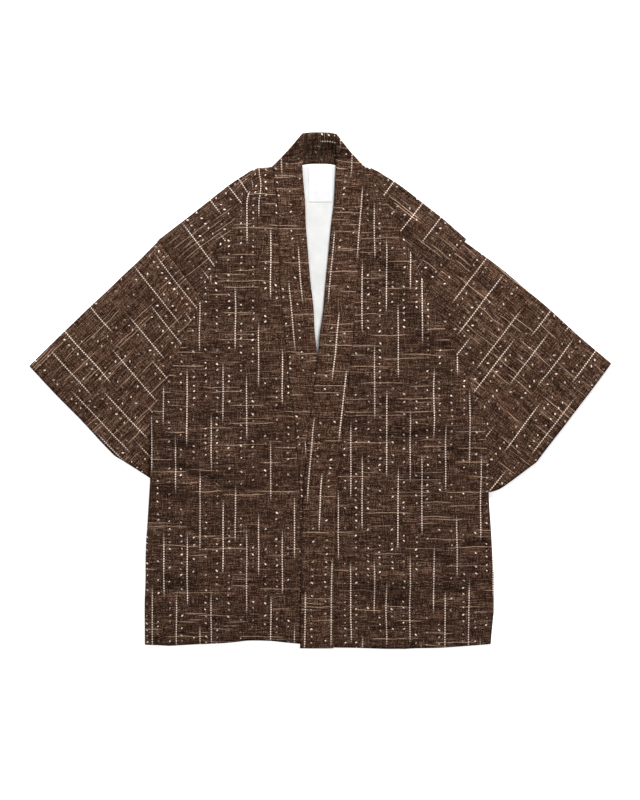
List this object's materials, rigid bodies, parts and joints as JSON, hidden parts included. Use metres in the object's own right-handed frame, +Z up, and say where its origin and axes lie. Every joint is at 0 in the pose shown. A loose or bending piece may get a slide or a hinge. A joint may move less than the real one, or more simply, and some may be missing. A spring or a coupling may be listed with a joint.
{
  "type": "short kimono robe",
  "caption": "Short open-front kimono robe in brown slub weave with cream dashes and dots, laid flat with both sleeves brought down, white half lining, blank label.",
  "frame": {"origin": "on the surface that the robe lies on, in the middle of its laid outline", "axes": "+Z up from the surface, +Y towards the collar, +X towards the wearer's left sleeve"},
  "size_m": [0.9602, 0.8497, 0.012],
  "materials": {
    "brown_weave": "matt slub-woven cotton",
    "white_lining": "smooth plain cotton",
    "white_tape": "close-woven satin tape"
  },
  "bodies": {
    "root": {"back_right": "brown_weave", "back_left": "brown_weave", "front_right": "brown_weave", "front_left": "brown_weave", "sleeve_right": "brown_weave", "sleeve_left": "brown_weave", "collar_right": "brown_weave", "collar_left": "brown_weave", "back_lining": "white_lining", "label": "white_tape"}
  },
  "joints": []
}
